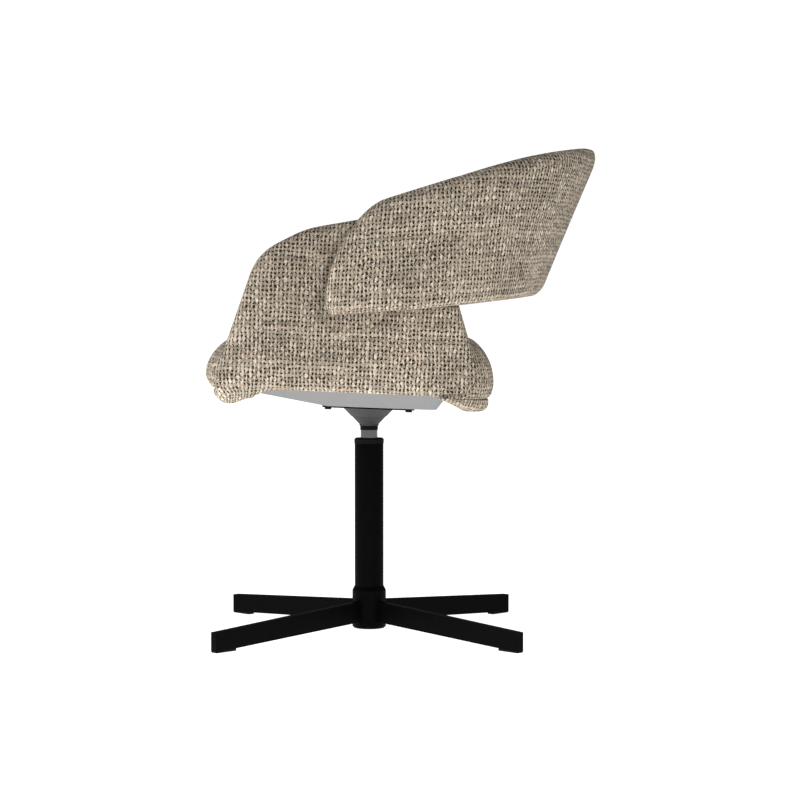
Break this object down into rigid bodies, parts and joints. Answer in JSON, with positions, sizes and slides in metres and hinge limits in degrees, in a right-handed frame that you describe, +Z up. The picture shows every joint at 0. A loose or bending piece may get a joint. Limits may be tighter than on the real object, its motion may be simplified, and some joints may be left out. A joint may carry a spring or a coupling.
{
  "type": "swivel dining chair",
  "caption": "Upholstered swivel dining chair: raked padded seat between side wings, wrap-round back band, steel column on a flat-bar cross base.",
  "frame": {"origin": "on the floor under the middle of the whole chair's bounding box", "axes": "+Z up, the chair faces -Y, the sitter's left is +X"},
  "size_m": [0.57, 0.63, 0.7974],
  "materials": {
    "black_steel": "satin black powder coat",
    "black_plastic": "matte black moulded plastic",
    "chrome": "polished chrome",
    "bearing_steel": "bright zinc and bearing steel",
    "black_bolts": "blackened steel",
    "dark_grey_plastic": "matte dark grey plastic",
    "mid_grey_plastic": "matte grey plastic",
    "light_grey_plastic": "matte light grey moulded plastic",
    "plywood": "raw birch plywood",
    "tweed": "chunky beige basket weave over foam"
  },
  "bodies": {
    "base": {"base_hub": "black_steel", "base_arm_1": "black_steel", "base_arm_2": "black_steel", "base_arm_3": "black_steel", "base_arm_4": "black_steel", "foot_glide_1": "black_plastic", "foot_glide_2": "black_plastic", "foot_glide_3": "black_plastic", "foot_glide_4": "black_plastic", "column_tube": "black_steel", "column_plug": "black_steel", "lower_bush": "black_plastic", "upper_bush": "black_plastic", "lower_race": "bearing_steel", "bearing_balls": "bearing_steel", "bearing_cage": "bearing_steel"},
    "seat": {"seat_plate": "black_steel", "plate_socket": "black_steel", "spindle_ring": "black_plastic", "spindle": "chrome", "upper_race": "bearing_steel", "retaining_washer": "bearing_steel", "circlip": "bearing_steel", "spacer_sleeves": "bearing_steel", "threaded_inserts": "bearing_steel", "seat_bolts": "black_bolts", "wing_bolts_left": "black_bolts", "wing_bolts_right": "black_bolts", "band_bolts_left": "black_bolts", "band_bolts_right": "black_bolts", "lower_funnel": "dark_grey_plastic", "upper_funnel": "mid_grey_plastic", "underseat_pan": "light_grey_plastic", "seat_board": "plywood", "wing_panel_left": "plywood", "wing_panel_right": "plywood", "band_panel": "plywood", "seat_cushion": "tweed", "front_roll": "tweed", "rear_roll": "tweed", "wing_left": "tweed", "wing_right": "tweed", "back_band": "tweed"}
  },
  "joints": [
    {"name": "seat_swivel", "type": "hinge", "parent": "base", "child": "seat", "pos_m": [0, -0.05608, 0], "axis": [0, 0, 1], "continuous": true}
  ]
}
